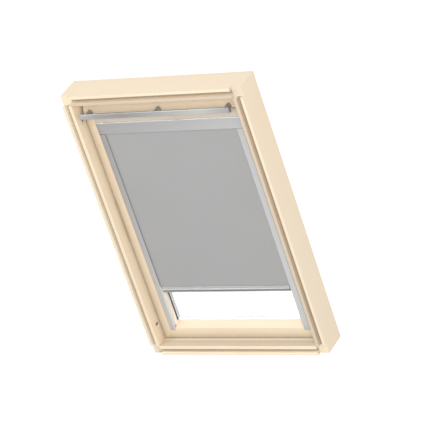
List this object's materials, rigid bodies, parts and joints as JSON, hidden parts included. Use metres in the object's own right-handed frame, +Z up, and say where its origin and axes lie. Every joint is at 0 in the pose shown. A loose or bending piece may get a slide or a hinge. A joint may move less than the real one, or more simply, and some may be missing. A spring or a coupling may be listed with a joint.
{
  "type": "roof window with blackout blind",
  "caption": "Centre-pivot pine roof window with double glazing, a ventilation flap worked by a pull bar, and a grey blackout roller blind in side rails.",
  "frame": {"origin": "middle of the sill's underside, at half the depth of the pine frame", "axes": "+X across the window to the right seen from the room, +Y out through the roof, +Z up the window along the slope of the roof"},
  "size_m": [0.78, 0.1398, 1.178],
  "materials": {
    "pine": "clear satin lacquer over pale pine",
    "weather_cover": "dark grey powder coat",
    "silver_aluminium": "satin anodised",
    "bar_aluminium": "satin anodised",
    "zinc_steel": "zinc plated",
    "dark_plastic": "dark grey-brown moulded",
    "grey_plastic": "mid grey moulded",
    "beige_plastic": "beige moulded",
    "rubber": "black extruded",
    "glass": "clear float glass",
    "spacer": "mill finish",
    "blackout_cloth": "grey blackout weave"
  },
  "bodies": {
    "frame": {"frame_head": "pine", "frame_sill": "pine", "frame_jamb_left": "pine", "frame_jamb_right": "pine", "frame_cover_head": "weather_cover", "frame_cover_sill": "weather_cover", "frame_cover_left": "weather_cover", "frame_cover_right": "weather_cover", "pivot_plate_frame_left": "zinc_steel", "pivot_plate_frame_right": "zinc_steel", "striker_plate": "zinc_steel", "bolt_bush_upper": "grey_plastic", "bolt_bush_lower": "grey_plastic"},
    "sash": {"sash_stile_left": "pine", "sash_stile_right": "pine", "sash_top_rail": "pine", "sash_bottom_rail": "pine", "glazing_gasket": "rubber", "inner_pane": "glass", "glass_spacer": "spacer", "outer_pane": "glass", "sash_cover_top": "weather_cover", "sash_cover_bottom": "weather_cover", "sash_cover_left": "weather_cover", "sash_cover_right": "weather_cover", "weather_seal": "rubber", "pivot_plate_sash_left": "zinc_steel", "pivot_plate_sash_right": "zinc_steel", "pivot_pin_left": "zinc_steel", "pivot_pin_right": "zinc_steel", "lock_case": "zinc_steel", "flap_lug_left": "beige_plastic", "flap_lug_right": "beige_plastic", "blind_casing": "silver_aluminium", "casing_cap_left": "grey_plastic", "casing_cap_right": "grey_plastic", "blind_rail_left": "silver_aluminium", "blind_rail_right": "silver_aluminium", "rail_stop_left": "grey_plastic", "rail_stop_right": "grey_plastic", "blind_cloth": "blackout_cloth"},
    "vent_flap": {"vent_flap": "pine", "control_bar": "bar_aluminium", "control_arm_left": "dark_plastic", "control_arm_centre": "dark_plastic", "control_arm_right": "dark_plastic", "bar_cap_left": "dark_plastic", "bar_cap_right": "dark_plastic", "flap_pin_left": "zinc_steel", "flap_pin_right": "zinc_steel"},
    "lock_tongue": {"lock_tongue": "zinc_steel"},
    "barrel_bolt": {"barrel_bolt": "zinc_steel"},
    "roller": {"roller_tube": "silver_aluminium", "wound_cloth": "blackout_cloth", "roller_plug_left": "grey_plastic", "roller_plug_right": "grey_plastic"},
    "drop_bar": {"drop_bar": "silver_aluminium", "drop_bar_glide_left": "grey_plastic", "drop_bar_glide_right": "grey_plastic"}
  },
  "joints": [
    {"name": "sash_pivot", "type": "hinge", "parent": "frame", "child": "sash", "pos_m": [0, 0.012, 0.589], "axis": [1, 0, 0], "range_deg": [0, 175]},
    {"name": "vent_flap_hinge", "type": "hinge", "parent": "sash", "child": "vent_flap", "pos_m": [0, -0.006, 1.083], "axis": [1, 0, 0], "range_deg": [0, 24]},
    {"name": "lock_tongue_slide", "type": "slide", "parent": "sash", "child": "lock_tongue", "axis": [0, 0, 1], "range_m": [-0.008, 0]},
    {"name": "barrel_bolt_slide", "type": "slide", "parent": "sash", "child": "barrel_bolt", "axis": [-1, 0, 0], "range_m": [0, 0.012]},
    {"name": "blind_slide", "type": "slide", "parent": "sash", "child": "drop_bar", "axis": [0, 0, 1], "range_m": [-0.16, 0.694], "deforming": ["blind_cloth"]},
    {"name": "roller_spin", "type": "hinge", "parent": "sash", "child": "roller", "pos_m": [0, 0.009, 1.003], "axis": [1, 0, 0], "range_deg": [-4420, 1020]}
  ],
  "couplings": [
    {"joint": "lock_tongue_slide", "follows": "vent_flap_hinge", "m_per_rad": -0.019098},
    {"joint": "roller_spin", "follows": "blind_slide", "rad_per_m": -111.11}
  ]
}
